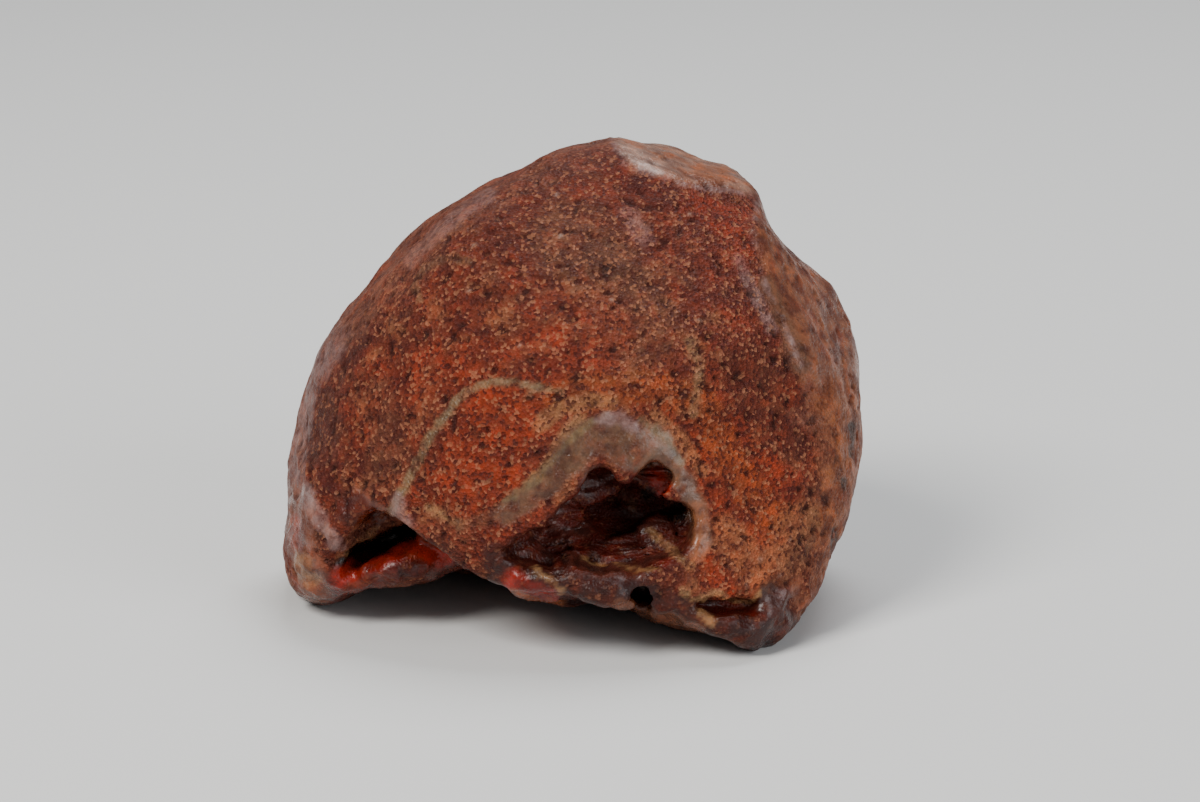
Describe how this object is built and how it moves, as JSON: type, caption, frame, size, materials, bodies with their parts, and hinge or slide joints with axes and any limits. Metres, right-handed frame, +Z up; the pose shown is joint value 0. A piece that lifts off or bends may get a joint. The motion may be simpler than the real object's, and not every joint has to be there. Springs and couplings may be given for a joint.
{
  "type": "agate nodule",
  "caption": "Weathered fist-shaped agate nodule, a single stone with a broken-open hollow low on its front and an undercut lip at its left foot.",
  "frame": {"origin": "on the ground, under the middle of the stone's bounding box", "axes": "+Z up, -Y towards the viewer of the hollow's side, +X to that viewer's right"},
  "size_m": [0.061, 0.052, 0.0478],
  "materials": {
    "stone": "brick-red sugary crystal skin with grey waxy chalcedony rims and veins"
  },
  "bodies": {
    "root": {"agate_nodule": "stone"}
  },
  "joints": []
}
